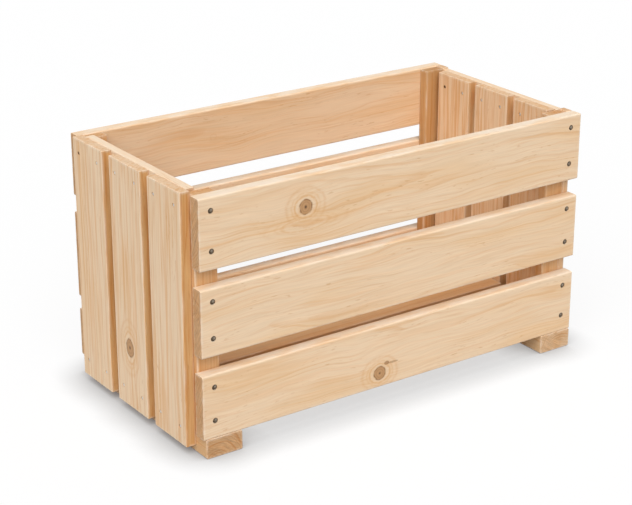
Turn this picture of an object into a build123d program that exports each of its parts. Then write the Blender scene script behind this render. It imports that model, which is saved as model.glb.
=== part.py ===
from build123d import *
import os

os.makedirs("parts", exist_ok=True)

# Slatted front and back walls
slat_length = 600
slat_thickness = 18
bottom_slat_width = 86
middle_slat_width = 89
top_slat_width = 92
slat_gap = 23.5
back_bottom_slat_width = 67.5
back_top_slat_width = 85
back_lower_gap = 18.5
crate_width = 316

# Runners under the two ends
runner_width = 52
runner_height = 26

# Corner posts behind the slats
post_depth = 16
left_post_width = 32
right_post_width = 30
post_top_drop = 1

# Left end: upright boards outside, rails behind them between the posts
end_board_thickness = 14
end_board_count = 3
left_board_gap = 17.5
left_board_inset = 25
left_board_overhang = 10
left_board_ground_gap = 10
left_end_rise = 3
left_rail_thickness = 12
rail_height = 38

# Right end: upright boards inside, rails and corner stiles outside them
right_board_gap = 13.5
right_board_inset = 7
right_rail_thickness = 10
right_end_drop = 2

# Floor boards, lengthwise on a bearer over each runner
floor_board_count = 3
floor_board_thickness = 12
floor_board_gap = 6
floor_side_clearance = 0.5
floor_end_clearance = 0.5
bearer_width = 26
bearer_height = 22

# Nails
slat_nail_head_diameter = 6.5
end_nail_head_diameter = 4.2
floor_nail_head_diameter = 6
nail_head_height = 1.2
nail_head_bevel = 0.4
nail_head_clearance = 0.35
nail_shank_diameter = 2.2
nail_point_length = 4
nail_sink = 0.4
nail_point_cover = 3
slat_nail_end_inset = 17
slat_nail_top_inset = 17
slat_nail_bottom_inset = 24
end_nail_inset = 14.5
left_low_nail_rise = 8
floor_nail_inset = 26

# Softened edges
slat_edge_round = 2.2
board_edge_round = 1.2
batten_edge_round = 1.2
runner_edge_round = 2
cut_end_round = 0.8

# Outer faces, with the origin on the ground under the middle of the crate
left_end = left_board_overhang / 2 - slat_length / 2
right_end = left_end + slat_length
front = -crate_width / 2
back = crate_width / 2

# Clear bay between the front and back posts
bay_front = front + slat_thickness + post_depth
bay_back = back - slat_thickness - post_depth
bay_width = bay_back - bay_front

# Heights
middle_slat_base = runner_height + bottom_slat_width + slat_gap
top_slat_base = middle_slat_base + middle_slat_width + slat_gap
rim = top_slat_base + top_slat_width
back_middle_slat_base = runner_height + back_bottom_slat_width + back_lower_gap
back_top_slat_base = rim - back_top_slat_width
back_middle_slat_width = back_top_slat_base - slat_gap - back_middle_slat_base
left_top = rim + left_end_rise
right_top = rim - right_end_drop
floor_base = runner_height + bearer_height
floor_top = floor_base + floor_board_thickness

# Layers of the two ends
left_board_face = left_end - left_board_overhang
left_board_back = left_board_face + end_board_thickness
right_rail_inner = right_end - right_rail_thickness
right_board_face = right_rail_inner - end_board_thickness

# Floor boards reach from the left rail to the right end boards
left_rail_face = left_board_back + left_rail_thickness
floor_left = left_rail_face + floor_end_clearance
floor_right = right_board_face - floor_end_clearance

# Each slat's base and width
front_rows = (
    ("bottom", runner_height, bottom_slat_width),
    ("middle", middle_slat_base, middle_slat_width),
    ("top", top_slat_base, top_slat_width),
)
back_rows = (
    ("bottom", runner_height, back_bottom_slat_width),
    ("middle", back_middle_slat_base, back_middle_slat_width),
    ("top", back_top_slat_base, back_top_slat_width),
)

# Each wall's outer face, the direction from it into the crate, and its slats
walls = (("front", front, 1, front_rows), ("back", back, -1, back_rows))
leftward = (-1, 0, 0)
upward = (0, 0, 1)

posts = (
    ("left", left_board_back, left_post_width),
    ("right", right_rail_inner - right_post_width, right_post_width),
)
runners = (("left", left_board_back), ("right", right_end - runner_width))
bearers = (("left", left_rail_face), ("right", right_board_face - bearer_width))
left_rails = (("bottom", runner_height), ("top", left_top - rail_height))
right_rails = (("bottom", runner_height), ("top", right_top - rail_height))


def spread(start, end, count, gap):
    """Centres and width of boards that fill a span with equal gaps between them."""
    width = (end - start - (count - 1) * gap) / count
    centres = [start + width / 2 + step * (width + gap) for step in range(count)]
    return centres, width


left_boards, left_board_width = spread(
    front + left_board_inset, back - left_board_inset, end_board_count, left_board_gap
)
right_boards, right_board_width = spread(
    bay_front + right_board_inset, bay_back - right_board_inset, end_board_count, right_board_gap
)
floor_boards, floor_board_width = spread(
    bay_front + floor_side_clearance, bay_back - floor_side_clearance, floor_board_count, floor_board_gap
)


def nail_pair(centre, width, inset):
    """Places of two nails across a board, each set in from one edge."""
    return [centre - width / 2 + inset, centre + width / 2 - inset]


# Nail columns and rows on each wall
slat_nail_columns = {
    "left": left_end + slat_nail_end_inset,
    "right": right_end - slat_nail_end_inset,
}
slat_nail_rows = {
    (wall, row): [base + slat_nail_bottom_inset, base + width - slat_nail_top_inset]
    for wall, face, inward, rows in walls
    for row, base, width in rows
}
left_nail_columns = [nail_pair(place, left_board_width, end_nail_inset) for place in left_boards]
right_nail_columns = [nail_pair(place, right_board_width, end_nail_inset) for place in right_boards]
floor_nail_lines = [nail_pair(place, floor_board_width, floor_nail_inset) for place in floor_boards]
left_nail_rows = {"bottom": runner_height + left_low_nail_rise, "top": left_top - rail_height / 2}
right_nail_rows = {"bottom": runner_height + rail_height / 2, "top": right_top - rail_height / 2}
floor_nail_columns = {end: start + bearer_width / 2 for end, start in bearers}

# Depth of each nail's point below the face that it is driven into
slat_nail_reach = slat_thickness + post_depth - nail_point_cover
left_nail_reach = end_board_thickness + left_rail_thickness - nail_point_cover
right_nail_reach = end_board_thickness + right_rail_thickness - nail_point_cover
floor_nail_reach = floor_board_thickness + bearer_height - nail_point_cover

shank_radius = nail_shank_diameter / 2
head_seat = nail_sink + nail_head_height
slat_head_recess = slat_nail_head_diameter / 2 + nail_head_clearance
end_head_recess = end_nail_head_diameter / 2 + nail_head_clearance
floor_head_recess = floor_nail_head_diameter / 2 + nail_head_clearance


def nail_spots(xs, ys, zs, outward):
    """A plane at each nail's place on a face, facing out of the wood."""
    return [Plane((x, y, z), z_dir=outward) for x in xs for y in ys for z in zs]


def flat(groups):
    """The values of a list of lists, in one list."""
    return [value for group in groups for value in group]


def make_nail(head_diameter, reach):
    """One nail driven down at the origin, with its point `reach` below the face."""
    head_radius = head_diameter / 2
    with BuildPart() as nail:
        with BuildSketch(Plane.XZ):
            with BuildLine():
                Polyline(
                    (0, -nail_sink),
                    (head_radius - nail_head_bevel, -nail_sink),
                    (head_radius, -nail_sink - nail_head_bevel),
                    (head_radius, -head_seat),
                    (shank_radius, -head_seat),
                    (shank_radius, nail_point_length - reach),
                    (0, -reach),
                    close=True,
                )
            make_face()
        revolve(axis=Axis.Z)
    return nail.part


def export(piece, label):
    """Name a finished piece and write it out."""
    piece.part.label = label
    export_step(piece.part, f"parts/{label}.step")


# Slats, nailed through to the posts
for wall, face, inward, rows in walls:
    outward = (0, -inward, 0)
    for row, base, width in rows:
        nail_heights = slat_nail_rows[wall, row]
        with BuildPart() as slat:
            with BuildSketch(Plane.YZ.offset(left_end)):
                with Locations((face + inward * slat_thickness / 2, base + width / 2)):
                    RectangleRounded(slat_thickness, width, slat_edge_round)
            extrude(amount=slat_length)
            fillet(slat.faces().filter_by(Axis.X).edges(), cut_end_round)
            with Locations(*nail_spots(slat_nail_columns.values(), [face], nail_heights, outward)):
                CounterBoreHole(shank_radius, slat_head_recess, head_seat)
        export(slat, f"{wall}_{row}_slat")

# Corner posts, standing on the runners against the slats
for wall, face, inward, rows in walls:
    post_face = face + inward * slat_thickness
    outward = (0, -inward, 0)
    nail_heights = flat(slat_nail_rows[wall, row] for row, base, width in rows)
    for end, start, width in posts:
        column = [slat_nail_columns[end]]
        with BuildPart() as post:
            with BuildSketch(Plane.XY.offset(runner_height)):
                with Locations((start + width / 2, post_face + inward * post_depth / 2)):
                    RectangleRounded(width, post_depth, batten_edge_round)
            extrude(amount=rim - post_top_drop - runner_height)
            fillet(post.faces().filter_by(Axis.Z).edges(), cut_end_round)
            with Locations(*nail_spots(column, [post_face], nail_heights, outward)):
                Hole(shank_radius, slat_nail_reach - slat_thickness)
        export(post, f"{wall}_{end}_post")

# Left end boards, outside the posts and rails
for number, place in enumerate(left_boards):
    columns = left_nail_columns[number]
    with BuildPart() as board:
        with BuildSketch(Plane.XY.offset(left_board_ground_gap)):
            with Locations((left_board_back - end_board_thickness / 2, place)):
                RectangleRounded(end_board_thickness, left_board_width, board_edge_round)
        extrude(amount=left_top - left_board_ground_gap)
        fillet(board.faces().filter_by(Axis.Z).edges(), cut_end_round)
        with Locations(*nail_spots([left_board_face], columns, left_nail_rows.values(), leftward)):
            CounterBoreHole(shank_radius, end_head_recess, head_seat)
    export(board, f"left_end_board_{number + 1}")

# Left rails, between the posts behind the boards
for level, base in left_rails:
    row = [left_nail_rows[level]]
    with BuildPart() as rail:
        with BuildSketch(Plane.XZ.offset(-bay_front)):
            with Locations((left_board_back + left_rail_thickness / 2, base + rail_height / 2)):
                RectangleRounded(left_rail_thickness, rail_height, batten_edge_round)
        extrude(amount=-bay_width)
        fillet(rail.faces().filter_by(Axis.Y).edges(), cut_end_round)
        with Locations(*nail_spots([left_board_back], flat(left_nail_columns), row, leftward)):
            Hole(shank_radius, left_nail_reach - end_board_thickness)
    export(rail, f"left_{level}_rail")

# Right end boards, nailed from inside the crate
for number, place in enumerate(right_boards):
    columns = right_nail_columns[number]
    with BuildPart() as board:
        with BuildSketch(Plane.XY.offset(runner_height)):
            with Locations((right_rail_inner - end_board_thickness / 2, place)):
                RectangleRounded(end_board_thickness, right_board_width, board_edge_round)
        extrude(amount=right_top - runner_height)
        fillet(board.faces().filter_by(Axis.Z).edges(), cut_end_round)
        with Locations(*nail_spots([right_board_face], columns, right_nail_rows.values(), leftward)):
            CounterBoreHole(shank_radius, end_head_recess, head_seat)
    export(board, f"right_end_board_{number + 1}")

# Right rails, outside the boards between the stiles
for level, base in right_rails:
    row = [right_nail_rows[level]]
    with BuildPart() as rail:
        with BuildSketch(Plane.XZ.offset(-bay_front)):
            with Locations((right_rail_inner + right_rail_thickness / 2, base + rail_height / 2)):
                RectangleRounded(right_rail_thickness, rail_height, batten_edge_round)
        extrude(amount=-bay_width)
        fillet(rail.faces().filter_by(Axis.Y).edges(), cut_end_round)
        with Locations(*nail_spots([right_rail_inner], flat(right_nail_columns), row, leftward)):
            Hole(shank_radius, right_nail_reach - end_board_thickness)
    export(rail, f"right_{level}_rail")

# Right corner stiles, covering the outer sides of the right posts
for wall, face, inward, rows in walls:
    place = face + inward * (slat_thickness + post_depth / 2)
    with BuildPart() as stile:
        with BuildSketch(Plane.XY.offset(runner_height)):
            with Locations((right_rail_inner + right_rail_thickness / 2, place)):
                RectangleRounded(right_rail_thickness, post_depth, batten_edge_round)
        extrude(amount=rim - runner_height)
        fillet(stile.faces().filter_by(Axis.Z).edges(), cut_end_round)
    export(stile, f"right_{wall}_stile")

# Floor boards
for number, place in enumerate(floor_boards):
    lines = floor_nail_lines[number]
    with BuildPart() as board:
        with BuildSketch(Plane.YZ.offset(floor_left)):
            with Locations((place, floor_base + floor_board_thickness / 2)):
                RectangleRounded(floor_board_width, floor_board_thickness, board_edge_round)
        extrude(amount=floor_right - floor_left)
        fillet(board.faces().filter_by(Axis.X).edges(), cut_end_round)
        with Locations(*nail_spots(floor_nail_columns.values(), lines, [floor_top], upward)):
            CounterBoreHole(shank_radius, floor_head_recess, head_seat)
    export(board, f"floor_board_{number + 1}")

# Bearers, between the posts on the runners
for end, start in bearers:
    column = [floor_nail_columns[end]]
    with BuildPart() as bearer:
        with BuildSketch(Plane.XZ.offset(-bay_front)):
            with Locations((start + bearer_width / 2, runner_height + bearer_height / 2)):
                RectangleRounded(bearer_width, bearer_height, batten_edge_round)
        extrude(amount=-bay_width)
        fillet(bearer.faces().filter_by(Axis.Y).edges(), cut_end_round)
        with Locations(*nail_spots(column, flat(floor_nail_lines), [floor_base], upward)):
            Hole(shank_radius, floor_nail_reach - floor_board_thickness)
    export(bearer, f"{end}_floor_bearer")

# Runners, whose ends are the feet
for end, start in runners:
    with BuildPart() as runner:
        with BuildSketch(Plane.XZ.offset(-front)):
            with Locations((start + runner_width / 2, runner_height / 2)):
                RectangleRounded(runner_width, runner_height, runner_edge_round)
        extrude(amount=-crate_width)
        fillet(runner.faces().filter_by(Axis.Y).edges(), cut_end_round)
    export(runner, f"{end}_runner")

# Nails of the slatted walls
slat_nail = make_nail(slat_nail_head_diameter, slat_nail_reach)
for wall, face, inward, rows in walls:
    nail_heights = flat(slat_nail_rows[wall, row] for row, base, width in rows)
    with BuildPart() as nails:
        with Locations(*nail_spots(slat_nail_columns.values(), [face], nail_heights, (0, -inward, 0))):
            add(slat_nail)
    export(nails, f"{wall}_slat_nails")

# Nails of the left end
left_nail = make_nail(end_nail_head_diameter, left_nail_reach)
columns = flat(left_nail_columns)
with BuildPart() as left_nails:
    with Locations(*nail_spots([left_board_face], columns, left_nail_rows.values(), leftward)):
        add(left_nail)
export(left_nails, "left_end_nails")

# Nails of the right end
right_nail = make_nail(end_nail_head_diameter, right_nail_reach)
columns = flat(right_nail_columns)
with BuildPart() as right_nails:
    with Locations(*nail_spots([right_board_face], columns, right_nail_rows.values(), leftward)):
        add(right_nail)
export(right_nails, "right_end_nails")

# Nails of the floor
floor_nail = make_nail(floor_nail_head_diameter, floor_nail_reach)
with BuildPart() as floor_nails:
    with Locations(*nail_spots(floor_nail_columns.values(), flat(floor_nail_lines), [floor_top], upward)):
        add(floor_nail)
export(floor_nails, "floor_nails")
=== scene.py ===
import math

import bpy
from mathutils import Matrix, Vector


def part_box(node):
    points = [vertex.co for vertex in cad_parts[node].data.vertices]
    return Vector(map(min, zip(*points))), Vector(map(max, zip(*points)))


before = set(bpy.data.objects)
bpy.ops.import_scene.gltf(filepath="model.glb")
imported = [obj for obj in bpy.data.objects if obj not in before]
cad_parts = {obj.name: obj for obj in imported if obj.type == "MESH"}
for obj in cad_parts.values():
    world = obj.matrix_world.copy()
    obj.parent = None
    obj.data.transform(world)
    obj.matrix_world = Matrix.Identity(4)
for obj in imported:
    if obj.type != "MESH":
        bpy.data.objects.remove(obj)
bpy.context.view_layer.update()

MM = 0.001
AXES = {"x": 0, "y": 1, "z": 2}

# Camera, fitted to the crate's corners for a 632 x 505 image
IMAGE_WIDTH = 632
SENSOR_WIDTH = 36.0
FOCAL_PIXELS = 1770.7
CAMERA_AZIMUTH = -34.917
CAMERA_ELEVATION = 21.430
CAMERA_PLACE = (-1.2881, -1.8200, 1.0327)
CLIP_END = 100.0

# One wide sun, and a dome that grows brighter from the horizon up
SUN_STRENGTH = 2.85
SUN_ANGLE = 60.0
SUN_TOWARDS = (0.41, 0.50, -0.62)
DOME_STRENGTHS = (0.15, 0.60)
WHITE = (1.0, 1.0, 1.0, 1.0)

# Floor, which glows white where it is seen and is shaded near the crate
FLOOR_REACH = 30.0
FLOOR_DROP = 0.2 * MM
FLOOR_SEEN = (0.90, 0.90, 0.905, 1.0)
FLOOR_BOUNCE = (0.5, 0.5, 0.5, 1.0)
FLOOR_GLOW = 0.85
CONTACT_REACH = 0.052
CONTACT_SAMPLES = 16
CONTACT_SHADE = (0.10, 0.080, 0.069, 1.0)

# Wood colours
EARLY_WOOD = (0.835, 0.63, 0.43, 1.0)
LATE_WOOD = (0.69, 0.365, 0.145, 1.0)
HONEY = (0.78, 0.50, 0.255, 1.0)
FLECK = (0.58, 0.29, 0.105, 1.0)
RESIN = (0.34, 0.155, 0.05, 1.0)
# Warmer, deeper tint of painted shade on parts inside the crate
INNER_SHADE_TINT = (0.90, 0.70, 0.46, 1.0)
END_TINT = (0.68, 0.555, 0.43, 1.0)
# Deeper tint of painted shade on narrow side faces, in the gaps between boards and under the crate
SIDE_SHADE_TINT = (0.74, 0.56, 0.31, 1.0)
# Pale colour of worn edges and of the painted highlight on edges and narrow faces, also a pale
# loop about knots
WEAR_HIGHLIGHT_AND_HALO = (0.86, 0.78, 0.67, 1.0)
KNOT_CORE = (0.10, 0.05, 0.025, 1.0)
KNOT_HEART = (0.53, 0.30, 0.14, 1.0)
KNOT_RIM = (0.24, 0.105, 0.035, 1.0)

# Noise in the wood: lengths along and across the grain in millimetres, detail and roughness
SWAY_NOISE = ((140.0, 46.0), 2.0, 0.45)
WANDER_NOISE = ((260.0, 60.0), 1.5, 0.5)
RIPPLE_NOISE = ((85.0, 10.0), 2.0, 0.5)
PATCH_NOISE = ((180.0, 30.0), 2.0, 0.5)
FIBRE_NOISE = ((46.0, 1.5), 3.0, 0.6)
STREAK_NOISE = ((150.0, 6.0), 2.0, 0.55)
HONEY_NOISE = ((230.0, 34.0), 2.0, 0.5)
FLECK_NOISE = ((15.0, 2.2), 2.0, 0.5)
FLECK_PATCH_NOISE = ((95.0, 22.0), 1.0, 0.5)
THIN_NOISE = ((110.0, 3.0), 3.0, 0.62)
THIN_PATCH_NOISE = ((150.0, 13.0), 2.0, 0.5)
WIDE_NOISE = ((190.0, 6.5), 2.0, 0.55)
WEAR_AND_HIGHLIGHT_NOISE = ((40.0, 9.0), 3.0, 0.5)
NOISE_MIDDLE = 0.5

# Saw marks: lengths along their slant and across, detail and roughness
SAW_NOISE = ((1.5, 22.0), 2.0, 0.6)
SAW_SLANT = (0.45, 0.9)

# Steps of the noise per unit of a board's seed, and what other noises add to the seed
SEED_STEPS = (3.71, 7.13, 5.37)
SWAY_SEED = 0.6
LOOP_SEED = 0.5

# Smooth ranges: from, to and, where they aren't 0 and 1, the two values reached
LATE_RISE = (0.50, 0.90)
LATE_FALL = (0.92, 1.0, 1.0, 0.0)
PATCH_RANGE = (0.30, 0.68, 0.35, 1.0)
HONEY_RANGE = (0.42, 0.72)
FLECK_RANGE = (0.62, 0.72)
FLECK_PATCH_RANGE = (0.48, 0.60)
THIN_RANGE = (0.49, 0.63)
THIN_PATCH_RANGE = (0.40, 0.60, 0.2, 1.0)
WIDE_RANGE = (0.52, 0.64, 0.0, 0.7)
WEAR_AND_HIGHLIGHT_RANGE = (0.30, 0.66)
END_FACING = (0.6, 0.9)
SIDE_FACING = (0.5, 0.9)
EDGE_FADE = (0.3, 4.0, 1.0, 0.0)

# Growth rings, in millimetres where they are lengths
WANDER_ACROSS = 16.0
WANDER_THROUGH = 10.0
RIPPLE = 2.4
UNEVEN_RATE = 0.55
UNEVEN_RINGS = 1.3
RING_LEAST = 0.2
RING_SPREAD = 0.8

# Shares of the colours, the light and dark of the grain, and the surface of the wood
HONEY_SHARE = 0.5
LATE_SHARE = 0.85
END_LATE_SHARE = 0.4
LINE_SHARE = 0.75
FLECK_SHARE = 0.45
WEAR_AND_HIGHLIGHT_SHARE = 0.55
EDGE_SHARE = 0.6
FIBRE_LIGHT = 0.20
STREAK_LIGHT = 0.12
SAW_LIGHT = 0.95
TONE_STEP = 0.05
WOOD_ROUGHNESS = 0.56
FIBRE_ROUGHNESS = 0.18
LATE_SMOOTHNESS = 0.08
END_ROUGHNESS = 0.18
FIBRE_HEIGHT = 0.60
LATE_HEIGHT = 0.04
FLECK_DEPTH = 0.08
WOOD_BUMP = (0.35, 0.5 * MM)
WOOD_SPECULAR = 0.32

# Knots: distances are 1 at the rim
KNOT_SWIRL = 1.2
KNOT_PUSH = -0.85
KNOT_PUSH_REACH = 2.6
KNOT_SWELL_REACH = 1.7
KNOT_OUTLINE = 0.34
KNOT_OUTLINE_RATE = 1.1
KNOT_HEIGHT = 0.25
HEART_RINGS = 2.4
HEART_RING_FOLD = 0.5
HEART_RING_RANGE = (0.10, 0.45)
HEART_RING_SHARE = 0.24
CORE_FADE = (0.08, 0.22, 0.9, 0.0)
KNOT_FADE = (0.88, 1.06)
RIM_PLACE = 0.98
RIM_WIDTH = 0.11
BREAK_LENGTH = 5.0
RIM_BREAKS = (0.32, 0.62, 0.35, 0.9)

# Loops of grain about a knot, drawn longer than it: distance, spread, share and colour
KNOT_STRETCH = 1.22
LOOP_BREAKS = (0.30, 0.55, 0.5, 1.0)
KNOT_LOOPS = (
    (1.60, 0.60, 0.30, HONEY),
    (1.18, 0.12, 0.14, WEAR_HIGHLIGHT_AND_HALO),
    (1.50, 0.12, 0.60, LATE_WOOD),
    (1.92, 0.13, 0.28, LATE_WOOD),
    (2.60, 0.20, 0.30, LATE_WOOD),
)

# Places of the nails in millimetres, the painted highlight off the middle of a slat nail's head,
# and the painted shade about the nails
NAIL_END_INSET = 17.0
NAIL_TOP_INSET = 17.0
NAIL_BOTTOM_INSET = 24.0
NAIL_HEAD_RADIUS = 3.3
NAIL_HIGHLIGHT_OFFSET = (0.9, 0.6)
NAIL_HIGHLIGHT_FADE = (1.2, 2.9)
NAIL_SHADE_WIDTH = 0.4
NAIL_SHADE_SHARE = 0.6
RUST_DEPTH = (88.0, 94.0)
RUST_HEIGHT = (200.0, 210.0)

# Nail steel
# The slat nails' dark steel is partly dull steel and partly painted shade of their sunken heads
DULL_AND_SHADED_PALE = (0.33, 0.28, 0.22, 1.0)
DULL_AND_SHADED_DARK = (0.18, 0.14, 0.10, 1.0)
DULL_ROUGHNESS = 0.5
BRIGHT_PALE = (0.70, 0.69, 0.67, 1.0)
BRIGHT_DARK = (0.52, 0.51, 0.49, 1.0)
BRIGHT_ROUGHNESS = 0.42
# Painted shade: dark about the nails in the wood and at the rims of the slat nails' heads
NAIL_SHADE = (0.09, 0.06, 0.035, 1.0)
NAIL_RUST = (0.09, 0.055, 0.03, 1.0)
STAIN_RATE = 0.35
STAIN_RANGE = (0.35, 0.65)
SCRATCH_RATE = 1.6
STEEL_DETAIL = 3.0
SHINE_SPREAD = 0.24
STEEL_BUMP = (0.3, 0.2 * MM)
STEEL_METALLIC = 0.75


class Shader:
    """Shader nodes of one tree, each added and linked in one call."""

    def __init__(self, tree):
        self.tree = tree

    def node(self, kind, inputs=None, **settings):
        made = self.tree.nodes.new(kind)
        for name, value in settings.items():
            setattr(made, name, value)
        for socket, value in (inputs or {}).items():
            if isinstance(value, bpy.types.NodeSocket):
                self.tree.links.new(value, made.inputs[socket])
            else:
                made.inputs[socket].default_value = value
        return made

    def math(self, operation, *values):
        made = self.node("ShaderNodeMath", dict(enumerate(values)), operation=operation)
        return made.outputs[0]

    def plus(self, a, b):
        return self.math("ADD", a, b)

    def minus(self, a, b):
        return self.math("SUBTRACT", a, b)

    def times(self, a, b):
        return self.math("MULTIPLY", a, b)

    def over(self, a, b):
        return self.math("DIVIDE", a, b)

    def size(self, a):
        return self.math("ABSOLUTE", a)

    def swing(self, noise):
        """A noise's value, moved to lie about zero."""
        return self.minus(noise, NOISE_MIDDLE)

    def vector(self, x, y, z):
        return self.node("ShaderNodeCombineXYZ", {"X": x, "Y": y, "Z": z}).outputs[0]

    def split(self, vector):
        return self.node("ShaderNodeSeparateXYZ", {0: vector}).outputs

    def scale(self, vector, factor):
        inputs = {0: vector, "Scale": factor}
        return self.node("ShaderNodeVectorMath", inputs, operation="SCALE").outputs[0]

    def length(self, vector):
        made = self.node("ShaderNodeVectorMath", {0: vector}, operation="LENGTH")
        return made.outputs["Value"]

    def mix(self, factor, a, b, blend="MIX"):
        made = self.node(
            "ShaderNodeMix", {0: factor, 6: a, 7: b}, data_type="RGBA", blend_type=blend
        )
        return made.outputs[2]

    def noise(self, vector, detail=2.0, roughness=0.5, output=0):
        made = self.node(
            "ShaderNodeTexNoise",
            {"Vector": vector, "Scale": 1.0, "Detail": detail, "Roughness": roughness},
        )
        return made.outputs[output]

    def smooth(self, value, low, high, to_low=0.0, to_high=1.0):
        made = self.node(
            "ShaderNodeMapRange",
            {0: value, 1: low, 2: high, 3: to_low, 4: to_high},
            interpolation_type="SMOOTHSTEP",
        )
        return made.outputs[0]

    def bell(self, value, width):
        """A smooth bump of height 1 about zero."""
        scaled = self.over(value, width)
        return self.math("EXPONENT", self.times(self.times(scaled, scaled), -1.0))

    def nearest(self, value, lines):
        """Distance to the nearest of some lines."""
        distance = self.size(self.minus(value, lines[0]))
        for line in lines[1:]:
            distance = self.math("MINIMUM", distance, self.size(self.minus(value, line)))
        return distance

    def seen(self):
        """1 for rays that see a thing, 0 for bounced light."""
        rays = self.node("ShaderNodeLightPath").outputs
        mirrored = self.math("MAXIMUM", rays["Is Glossy Ray"], rays["Is Transmission Ray"])
        return self.math("MAXIMUM", rays["Is Camera Ray"], mirrored)


def empty_nodes(owner):
    """The emptied node tree of a material or world."""
    owner.use_nodes = True
    owner.node_tree.nodes.clear()
    return Shader(owner.node_tree)


def coat(sh, bump, height, inputs):
    """A material's surface, with the strength and depth of its bump."""
    strength, depth = bump
    normal = sh.node("ShaderNodeBump", {"Strength": strength, "Distance": depth, "Height": height})
    surface = sh.node("ShaderNodeBsdfPrincipled", {**inputs, "Normal": normal.outputs[0]})
    sh.node("ShaderNodeOutputMaterial", {"Surface": surface.outputs[0]})


def dress(node, material):
    """Give a node's object one material."""
    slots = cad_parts[node].data.materials
    slots.clear()
    slots.append(material)


def grain_vector(sh, along, across, through, lengths, seed):
    """A noise vector stretched along the grain, with feature lengths in millimetres."""
    scaled = (
        sh.over(along, lengths[0]), sh.over(across, lengths[1]), sh.over(through, lengths[1])
    )
    steps = [sh.times(seed, step) for step in SEED_STEPS]
    return sh.vector(*[sh.plus(value, step) for value, step in zip(scaled, steps)])


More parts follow.
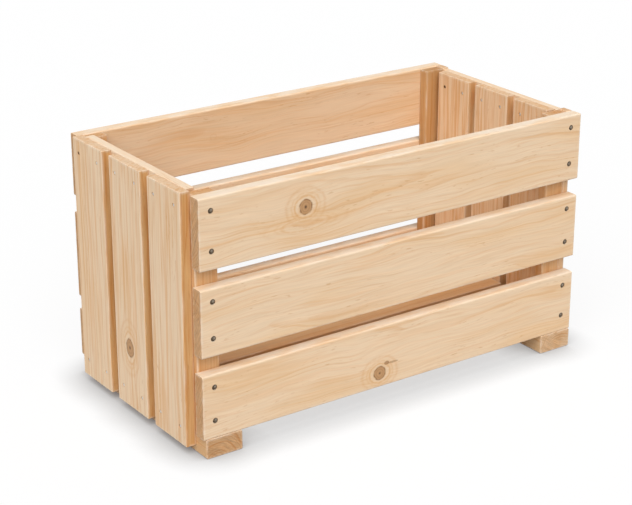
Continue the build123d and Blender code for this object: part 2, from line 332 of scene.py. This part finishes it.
def make_pine():
    """The node group that draws saw-cut pine from a board's own coordinates in millimetres."""
    group = bpy.data.node_groups.new("pine", "ShaderNodeTree")
    for name in (
        "Along", "Across", "Through", "Pith Across", "Pith Through", "Drift", "Ring", "Seed",
        "Sway", "Bend", "Swell", "Contrast", "Streak", "Tone", "Inner Shade", "Side Shade", "End", "Edge",
    ):
        group.interface.new_socket(name, in_out="INPUT", socket_type="NodeSocketFloat")
    group.interface.new_socket("Color", in_out="OUTPUT", socket_type="NodeSocketColor")
    group.interface.new_socket("Roughness", in_out="OUTPUT", socket_type="NodeSocketFloat")
    group.interface.new_socket("Height", in_out="OUTPUT", socket_type="NodeSocketFloat")
    sh = Shader(group)
    given = sh.node("NodeGroupInput").outputs
    along, through, seed = given["Along"], given["Through"], given["Seed"]

    # Fibres sway from side to side along the board
    lengths, *grade = SWAY_NOISE
    sway_seed = sh.plus(seed, SWAY_SEED)
    sway_at = grain_vector(sh, along, given["Across"], through, lengths, sway_seed)
    sway = sh.swing(sh.noise(sway_at, *grade))
    across = sh.plus(given["Across"], sh.times(sway, given["Sway"]))

    def stretched(lengths, detail, roughness, output=0):
        at = grain_vector(sh, along, across, through, lengths, seed)
        return sh.noise(at, detail, roughness, output)

    # Growth rings about a pith that wanders along the board
    wander_color = stretched(*WANDER_NOISE, output="Color")
    wander = sh.node("ShaderNodeSeparateColor", {0: wander_color}).outputs
    shift_across = sh.times(sh.swing(wander[0]), WANDER_ACROSS)
    shift_through = sh.times(sh.swing(wander[1]), WANDER_THROUGH)
    ripple = sh.times(sh.swing(stretched(*RIPPLE_NOISE)), RIPPLE)
    pith_across = sh.minus(sh.plus(across, given["Bend"]), given["Pith Across"])
    pith_through = sh.minus(through, given["Pith Through"])
    from_pith = sh.vector(
        sh.plus(pith_across, shift_across), sh.plus(pith_through, shift_through), 0.0
    )
    radius = sh.plus(sh.length(from_pith), sh.times(given["Drift"], along))
    phase = sh.over(sh.plus(radius, ripple), given["Ring"])
    phase = sh.plus(phase, given["Swell"])
    uneven = sh.node(
        "ShaderNodeTexNoise",
        {"W": sh.plus(sh.times(phase, UNEVEN_RATE), seed), "Scale": 1.0, "Detail": 1.0},
        noise_dimensions="1D",
    )
    phase = sh.plus(phase, sh.times(uneven.outputs[0], UNEVEN_RINGS))
    part = sh.math("FRACT", phase)
    late = sh.times(sh.smooth(part, *LATE_RISE), sh.smooth(part, *LATE_FALL))
    strength = sh.node(
        "ShaderNodeTexWhiteNoise",
        {"W": sh.plus(sh.math("FLOOR", phase), seed)},
        noise_dimensions="1D",
    ).outputs["Value"]
    strength = sh.plus(sh.times(strength, RING_SPREAD), RING_LEAST)
    patchy = sh.smooth(stretched(*PATCH_NOISE), *PATCH_RANGE)
    late = sh.times(sh.times(late, strength), patchy)

    # Fibres, broad honey patches, short resin flecks and dark lines
    fibres = sh.swing(stretched(*FIBRE_NOISE))
    streaks = sh.swing(stretched(*STREAK_NOISE))
    honey = sh.smooth(stretched(*HONEY_NOISE), *HONEY_RANGE)
    flecks = sh.smooth(stretched(*FLECK_NOISE), *FLECK_RANGE)
    flecks = sh.times(flecks, sh.smooth(stretched(*FLECK_PATCH_NOISE), *FLECK_PATCH_RANGE))
    thin = sh.smooth(stretched(*THIN_NOISE), *THIN_RANGE)
    thin = sh.times(thin, sh.smooth(stretched(*THIN_PATCH_NOISE), *THIN_PATCH_RANGE))
    wide = sh.smooth(stretched(*WIDE_NOISE), *WIDE_RANGE)
    lines = sh.times(sh.math("MAXIMUM", thin, wide), given["Streak"])

    # Saw marks across the cut ends
    lengths, *grade = SAW_NOISE
    slant = sh.plus(sh.times(across, SAW_SLANT[0]), sh.times(through, SAW_SLANT[1]))
    marks_at = sh.vector(sh.over(slant, lengths[0]), sh.over(across, lengths[1]), seed)
    marks = sh.times(sh.swing(sh.noise(marks_at, *grade)), given["End"])

    # Colour
    color = sh.mix(sh.times(honey, HONEY_SHARE), EARLY_WOOD, HONEY)
    late_share = sh.times(sh.times(late, given["Contrast"]), LATE_SHARE)
    end_late = sh.times(given["End"], sh.times(late, END_LATE_SHARE))
    late_share = sh.math("MINIMUM", sh.plus(late_share, end_late), 1.0)
    color = sh.mix(late_share, color, LATE_WOOD)
    color = sh.mix(sh.times(lines, LINE_SHARE), color, LATE_WOOD)
    color = sh.mix(sh.times(flecks, FLECK_SHARE), color, FLECK)
    light = sh.plus(sh.times(fibres, FIBRE_LIGHT), sh.times(streaks, STREAK_LIGHT))
    light = sh.plus(light, sh.times(marks, SAW_LIGHT))
    # A lower tone, the inner tint and the side tint are painted shade; the end tint is the colour
    # of end grain
    light = sh.plus(sh.plus(light, 1.0), sh.times(given["Tone"], TONE_STEP))
    color = sh.node("ShaderNodeHueSaturation", {"Value": light, "Color": color}).outputs[0]
    for share, tint in (("Inner Shade", INNER_SHADE_TINT), ("Side Shade", SIDE_SHADE_TINT), ("End", END_TINT)):
        color = sh.mix(given[share], color, sh.mix(1.0, color, tint, "MULTIPLY"))
    # Paler edges and narrow faces: partly wear, partly painted highlight
    wear_and_highlight = sh.times(given["Edge"], sh.smooth(stretched(*WEAR_AND_HIGHLIGHT_NOISE), *WEAR_AND_HIGHLIGHT_RANGE))
    color = sh.mix(sh.times(wear_and_highlight, WEAR_AND_HIGHLIGHT_SHARE), color, WEAR_HIGHLIGHT_AND_HALO)

    # Roughness and height
    roughness = sh.plus(WOOD_ROUGHNESS, sh.times(fibres, FIBRE_ROUGHNESS))
    roughness = sh.minus(roughness, sh.times(late, LATE_SMOOTHNESS))
    roughness = sh.plus(roughness, sh.times(given["End"], END_ROUGHNESS))
    height = sh.plus(sh.times(fibres, FIBRE_HEIGHT), sh.times(late, LATE_HEIGHT))
    height = sh.minus(height, sh.times(flecks, FLECK_DEPTH))
    sh.node("NodeGroupOutput", {"Color": color, "Roughness": roughness, "Height": height})
    return group


PINE = make_pine()


def board_edge(sh, place, low, high):
    """How near a point of a board's surface is to an edge of its box: 1 there, 0 from 4 mm in."""
    depths = []
    for axis in range(3):
        from_low = sh.minus(place[axis], low[axis])
        from_high = sh.minus(high[axis], place[axis])
        depths.append(sh.math("MINIMUM", from_low, from_high))
    inner = sh.math("MINIMUM", sh.math("MAXIMUM", depths[0], depths[1]), depths[2])
    second = sh.math("MAXIMUM", sh.math("MINIMUM", depths[0], depths[1]), inner)
    return sh.smooth(second, *EDGE_FADE)


def knot_field(sh, along, across, knot, seed):
    """Distance from a knot's centre, 1 at its rim, with an uneven outline."""
    x = sh.over(sh.minus(along, knot["along"]), knot["length"] / 2)
    y = sh.over(sh.minus(across, knot["across"]), knot["width"] / 2)
    far = sh.length(sh.vector(x, y, 0.0))
    at = sh.vector(sh.times(x, KNOT_OUTLINE_RATE), sh.times(y, KNOT_OUTLINE_RATE), seed)
    return sh.plus(far, sh.times(sh.swing(sh.noise(at)), KNOT_OUTLINE))


def draw_knot(sh, knot, far, along, across, seed, color, height):
    """A knot with a ringed heart and a broken rim, and loops of grain about it."""
    strength = knot.get("strength", 1.0)
    loops = knot.get("loops", strength)
    folded = sh.math("PINGPONG", sh.times(far, HEART_RINGS), HEART_RING_FOLD)
    rings = sh.times(sh.smooth(folded, *HEART_RING_RANGE), HEART_RING_SHARE)
    heart = sh.mix(rings, knot.get("heart", KNOT_HEART), KNOT_RIM)
    heart = sh.mix(sh.smooth(far, *CORE_FADE), heart, KNOT_CORE)
    inside = sh.smooth(far, *KNOT_FADE, strength, 0.0)
    broken_at = sh.vector(sh.over(along, BREAK_LENGTH), sh.over(across, BREAK_LENGTH), seed)
    broken = sh.noise(broken_at)
    rim = sh.times(sh.bell(sh.minus(far, RIM_PLACE), RIM_WIDTH), strength)
    rim = sh.times(rim, sh.smooth(broken, *RIM_BREAKS))
    longer = {**knot, "length": knot["length"] * KNOT_STRETCH}
    around = knot_field(sh, along, across, longer, seed + LOOP_SEED)
    for radius, spread, share, tint in KNOT_LOOPS:
        loop = sh.times(sh.bell(sh.minus(around, radius), spread), share * loops)
        loop = sh.times(loop, sh.smooth(broken, *LOOP_BREAKS))
        color = sh.mix(loop, color, tint)
    color = sh.mix(inside, color, heart)
    color = sh.mix(rim, color, KNOT_RIM)
    return color, sh.plus(height, sh.times(inside, KNOT_HEIGHT))


def draw_nail_shade(sh, along, across, length, width, color):
    """A ring of painted shade in the wood about each nail of a slat."""
    rows = [NAIL_BOTTOM_INSET - width / 2, width / 2 - NAIL_TOP_INSET]
    from_column = sh.minus(sh.size(along), length / 2 - NAIL_END_INSET)
    far = sh.length(sh.vector(from_column, sh.nearest(across, rows), 0.0))
    ring_shade = sh.bell(sh.minus(far, NAIL_HEAD_RADIUS), NAIL_SHADE_WIDTH)
    return sh.mix(sh.times(ring_shade, NAIL_SHADE_SHARE), color, NAIL_SHADE)


def wood(
    node, grain, width_axis, seed, pith=(6.0, 36.0), drift=0.012, ring=3.8, sway=26.0,
    contrast=0.5, streak=0.4, tone=0.0, inner_shade=0.0, side_shade=0.0, pale=0.0, end_share=1.0,
    knots=(), nailed=False,
):
    """A pine material for one board, with its own grain and knots; tone, inner shade and side
    shade paint shade, pale paints highlight.
    """
    low, high = [[value / MM for value in corner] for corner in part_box(node)]
    material = bpy.data.materials.new(f"pine.{node}")
    sh = empty_nodes(material)
    coords = sh.node("ShaderNodeTexCoord").outputs
    place = sh.split(sh.scale(coords["Object"], 1 / MM))
    centre = [(a + b) / 2 for a, b in zip(low, high)]
    local = [sh.minus(place[axis], centre[axis]) for axis in range(3)]
    grain_axis, across_axis = AXES[grain], AXES[width_axis]
    through_axis = 3 - grain_axis - across_axis
    along, across, through = local[grain_axis], local[across_axis], local[through_axis]
    facing = sh.split(coords["Normal"])
    end = sh.smooth(sh.size(facing[grain_axis]), *END_FACING, 0.0, end_share)
    side = sh.smooth(sh.size(facing[across_axis]), *SIDE_FACING)
    # Edges, and narrow faces where pale is given, are drawn paler: partly wear, partly painted
    # highlight
    edge = sh.times(board_edge(sh, place, low, high), EDGE_SHARE)
    edge = sh.math("MAXIMUM", edge, sh.times(side, pale))

    # Grain bends and swells about the knots
    bend = 0.0
    swell = 0.0
    fields = []
    for number, knot in enumerate(knots):
        far = knot_field(sh, along, across, knot, seed + number)
        fields.append((knot, far))
        push = sh.times(sh.bell(far, KNOT_PUSH_REACH), KNOT_PUSH)
        bend = sh.plus(sh.times(sh.minus(across, knot["across"]), push), bend)
        rise = sh.times(sh.bell(far, KNOT_SWELL_REACH), knot.get("swirl", KNOT_SWIRL))
        swell = sh.plus(rise, swell)

    pine = sh.node(
        "ShaderNodeGroup",
        {
            "Along": along, "Across": across, "Through": through,
            "Pith Across": pith[0], "Pith Through": pith[1], "Drift": drift, "Ring": ring,
            "Seed": seed, "Sway": sway, "Bend": bend, "Swell": swell, "Contrast": contrast,
            "Streak": streak, "Tone": tone, "Inner Shade": inner_shade, "Side Shade": sh.times(side, side_shade),
            "End": end, "Edge": edge,
        },
        node_tree=PINE,
    ).outputs
    color, height = pine["Color"], pine["Height"]
    for knot, far in fields:
        color, height = draw_knot(sh, knot, far, along, across, seed, color, height)
    # Painted shade about the sunken nail heads
    if nailed:
        length, width = [high[axis] - low[axis] for axis in (grain_axis, across_axis)]
        color = draw_nail_shade(sh, along, across, length, width, color)
    look = {
        "Base Color": color, "Roughness": pine["Roughness"], "Specular IOR Level": WOOD_SPECULAR
    }
    coat(sh, WOOD_BUMP, height, look)
    dress(node, material)


def slat_nail_rows(wall):
    """Heights of the nails in one slatted wall, in millimetres."""
    rows = []
    for row in ("bottom", "middle", "top"):
        low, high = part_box(f"{wall}_{row}_slat")
        rows += [low[2] / MM + NAIL_BOTTOM_INSET, high[2] / MM - NAIL_TOP_INSET]
    return rows


def steel(name, nodes, pale, dark, roughness, rows=(), rusty=False):
    """A nail material: stains and scratches, a painted highlight and painted shade on the heads
    where rows are given, rust far back.
    """
    material = bpy.data.materials.new(name)
    sh = empty_nodes(material)
    at = sh.scale(sh.node("ShaderNodeTexCoord").outputs["Object"], 1 / MM)
    place = sh.split(at)
    stains = sh.noise(sh.scale(at, STAIN_RATE), STEEL_DETAIL)
    scratches = sh.noise(sh.scale(at, SCRATCH_RATE), STEEL_DETAIL)
    color = sh.mix(sh.smooth(stains, *STAIN_RANGE), pale, dark)
    # Painted highlight and painted shade on each slat nail's head: pale about a spot right of and
    # above its middle, dark further out
    if rows:
        low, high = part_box(nodes[0])
        columns = [low[0] / MM + NAIL_HEAD_RADIUS, high[0] / MM - NAIL_HEAD_RADIUS]
        from_column = sh.nearest(place[0], [column + NAIL_HIGHLIGHT_OFFSET[0] for column in columns])
        from_row = sh.nearest(place[2], [row + NAIL_HIGHLIGHT_OFFSET[1] for row in rows])
        far = sh.length(sh.vector(from_column, from_row, 0.0))
        color = sh.mix(sh.smooth(far, *NAIL_HIGHLIGHT_FADE), color, NAIL_SHADE)
    if rusty:
        back = sh.times(sh.smooth(place[1], *RUST_DEPTH), sh.smooth(place[2], *RUST_HEIGHT))
        color = sh.mix(back, color, NAIL_RUST)
    shine = sh.plus(roughness - SHINE_SPREAD / 2, sh.times(scratches, SHINE_SPREAD))
    look = {"Base Color": color, "Roughness": shine, "Metallic": STEEL_METALLIC}
    coat(sh, STEEL_BUMP, scratches, look)
    for node in nodes:
        dress(node, material)


# Front and back slats
front_knot = {"along": -148.0, "across": 6.0, "length": 18.0, "width": 19.0}
front_eye = {
    "along": -148.0, "across": -16.0, "length": 39.0, "width": 10.7,
    "swirl": 0.6, "strength": 0.0, "loops": 0.6,
}
low_knot = {"along": -32.0, "across": -23.0, "length": 18.0, "width": 18.0}
low_pin = {
    "along": -21.0, "across": -11.0, "length": 7.0, "width": 5.0,
    "swirl": 0.5, "strength": 0.7, "loops": 0.3, "heart": RESIN,
}
low_speck = {
    "along": -11.0, "across": -12.0, "length": 17.0, "width": 2.8,
    "swirl": 0.3, "strength": 0.5, "loops": 0.0, "heart": RESIN,
}
back_swirl = {"along": -95.0, "across": 4.0, "length": 10.0, "width": 9.0, "strength": 0.03}
back_knot = {"along": 120.0, "across": -10.0, "length": 16.0, "width": 15.0}
# The back slats' inner shade is painted shade inside the crate
for node, seed, pith, drift, inner_shade, knots in (
    ("front_top_slat", 1.3, (14.0, 40.0), 0.014, 0.0, [front_knot, front_eye]),
    ("front_middle_slat", 4.9, (-30.0, 34.0), -0.018, 0.0, []),
    ("front_bottom_slat", 8.2, (28.0, 38.0), 0.014, 0.0, [low_knot, low_pin, low_speck]),
    ("back_top_slat", 11.7, (16.0, -38.0), 0.018, 0.10, [back_swirl]),
    ("back_middle_slat", 15.1, (-16.0, -40.0), -0.012, 0.10, [back_knot]),
    ("back_bottom_slat", 18.8, (4.0, -36.0), 0.020, 0.10, []),
):
    wood(node, "x", "z", seed, pith, drift, inner_shade=inner_shade, pale=1.0, knots=knots, nailed=True)

# Corner posts and stiles
# A lower tone and the inner tint paint shade on the posts and stiles inside the crate
for node, width_axis, seed, pith, tone, inner_shade in (
    ("front_left_post", "x", 21.4, (40.0, 20.0), -1.0, 0.8),
    ("front_right_post", "x", 24.6, (-34.0, 24.0), -1.0, 0.8),
    ("back_left_post", "x", 27.9, (36.0, -22.0), -1.0, 0.8),
    ("back_right_post", "x", 31.2, (-40.0, -18.0), -4.6, 1.0),
    ("right_front_stile", "y", 34.5, (30.0, 30.0), 0.0, 0.4),
    ("right_back_stile", "y", 37.7, (-30.0, 34.0), 0.0, 0.4),
):
    wood(
        node, "z", width_axis, seed, pith, sway=8.0, contrast=0.9, streak=0.9, tone=tone,
        inner_shade=inner_shade, end_share=0.5,
    )

# End boards and their rails
end_knot = {"along": -82.0, "across": 2.4, "length": 24.0, "width": 18.0}
# Side shade paints shade on the boards' side faces in the gaps between them; inner shade paints
# shade on the right end inside the crate
for node, seed, pith, inner_shade, side_shade, knots in (
    ("left_end_board_1", 41.3, (-78.0, 30.0), 0.0, 0.9, []),
    ("left_end_board_2", 44.8, (-70.0, 34.0), 0.0, 0.9, [end_knot]),
    ("left_end_board_3", 48.1, (66.0, 36.0), 0.0, 0.9, []),
    ("right_end_board_1", 51.6, (70.0, 30.0), 0.16, 0.7, []),
    ("right_end_board_2", 54.2, (-60.0, 28.0), 0.16, 0.7, []),
    ("right_end_board_3", 57.9, (64.0, 26.0), 0.16, 0.7, []),
):
    wood(
        node, "z", "y", seed, pith, ring=7.0, sway=10.0, contrast=0.9, streak=0.9,
        inner_shade=inner_shade, side_shade=side_shade, end_share=0.4, knots=knots,
    )
for node, seed in (
    ("left_bottom_rail", 61.3),
    ("left_top_rail", 64.6),
    ("right_bottom_rail", 67.9),
    ("right_top_rail", 71.2),
):
    wood(node, "y", "z", seed, pale=0.5)

# Floor boards, their bearers and the runners
# A lower tone and the inner tint paint shade on the floor boards inside the crate
for node, seed, pith in (
    ("floor_board_1", 78.9, (-10.0, -40.0)),
    ("floor_board_2", 82.6, (2.0, -40.0)),
    ("floor_board_3", 86.3, (14.0, -40.0)),
):
    wood(node, "x", "y", seed, pith, tone=-0.6, inner_shade=0.7)
for node, seed in (("left_floor_bearer", 101.3), ("right_floor_bearer", 105.2)):
    wood(node, "y", "x", seed)
# Side shade paints shade on the runners' side faces under the crate
for node, seed, pith, end_share in (
    ("left_runner", 93.4, (-8.0, -22.0), 1.0),
    ("right_runner", 97.8, (12.0, -26.0), 0.7),
):
    wood(node, "y", "x", seed, pith, ring=3.6, contrast=0.8, side_shade=0.6, end_share=end_share)

# Nails: dark in the slats, partly dull steel and partly painted shade of their sunken heads;
# bright in the ends and the floor
for wall in ("front", "back"):
    slat_nails = [f"{wall}_slat_nails"]
    rows = slat_nail_rows(wall)
    steel(f"nail.{wall}", slat_nails, DULL_AND_SHADED_PALE, DULL_AND_SHADED_DARK, DULL_ROUGHNESS, rows=rows)
end_nails = ["left_end_nails", "right_end_nails", "floor_nails"]
steel("nail.bright", end_nails, BRIGHT_PALE, BRIGHT_DARK, BRIGHT_ROUGHNESS, rusty=True)

# Floor
floor_mesh = bpy.data.meshes.new("floor")
corners = [(x * FLOOR_REACH, y * FLOOR_REACH, 0) for x, y in ((-1, -1), (1, -1), (1, 1), (-1, 1))]
floor_mesh.from_pydata(corners, [], [(0, 1, 2, 3)])
floor = bpy.data.objects.new("floor", floor_mesh)
bpy.context.scene.collection.objects.link(floor)
floor.location.z = -FLOOR_DROP
floor_material = bpy.data.materials.new("floor.white")
sh = empty_nodes(floor_material)
seen = sh.seen()
matte = sh.node("ShaderNodeBsdfDiffuse", {"Color": sh.mix(seen, FLOOR_BOUNCE, FLOOR_SEEN)})
near = sh.node(
    "ShaderNodeAmbientOcclusion", {"Distance": CONTACT_REACH}, samples=CONTACT_SAMPLES
).outputs["AO"]
glow = sh.node("ShaderNodeEmission", {"Color": sh.mix(near, CONTACT_SHADE, WHITE)})
mixed = sh.node(
    "ShaderNodeMixShader",
    {0: sh.times(seen, FLOOR_GLOW), 1: matte.outputs[0], 2: glow.outputs[0]},
)
sh.node("ShaderNodeOutputMaterial", {"Surface": mixed.outputs[0]})
floor_mesh.materials.append(floor_material)

# Soft studio light: a pale dome, white where it is seen, and one wide sun
world = bpy.data.worlds.new("studio")
bpy.context.scene.world = world
sh = empty_nodes(world)
height = sh.split(sh.node("ShaderNodeTexCoord").outputs["Generated"])[2]
dome = sh.smooth(height, 0.0, 1.0, *DOME_STRENGTHS)
strength = sh.node("ShaderNodeMix", {0: sh.seen(), 2: dome, 3: 1.0}).outputs[0]
sky = sh.node("ShaderNodeBackground", {"Color": WHITE, "Strength": strength})
sh.node("ShaderNodeOutputWorld", {"Surface": sky.outputs[0]})


def sun(name, strength, angle, towards):
    """A wide lamp that shines along one direction."""
    lamp = bpy.data.lights.new(name, "SUN")
    lamp.energy = strength
    lamp.angle = math.radians(angle)
    thing = bpy.data.objects.new(name, lamp)
    bpy.context.scene.collection.objects.link(thing)
    thing.rotation_euler = Vector(towards).to_track_quat("-Z", "Y").to_euler()


sun("key", SUN_STRENGTH, SUN_ANGLE, SUN_TOWARDS)

# Camera
lens = bpy.data.cameras.new("camera")
lens.sensor_width = SENSOR_WIDTH
lens.sensor_fit = "HORIZONTAL"
lens.lens = FOCAL_PIXELS / IMAGE_WIDTH * SENSOR_WIDTH
lens.clip_end = CLIP_END
camera = bpy.data.objects.new("camera", lens)
bpy.context.scene.collection.objects.link(camera)
camera.location = CAMERA_PLACE
tilt, turn = math.radians(90.0 - CAMERA_ELEVATION), math.radians(CAMERA_AZIMUTH)
camera.rotation_euler = (tilt, 0.0, turn)
bpy.context.scene.camera = camera
bpy.context.scene.view_settings.view_transform = "Standard"
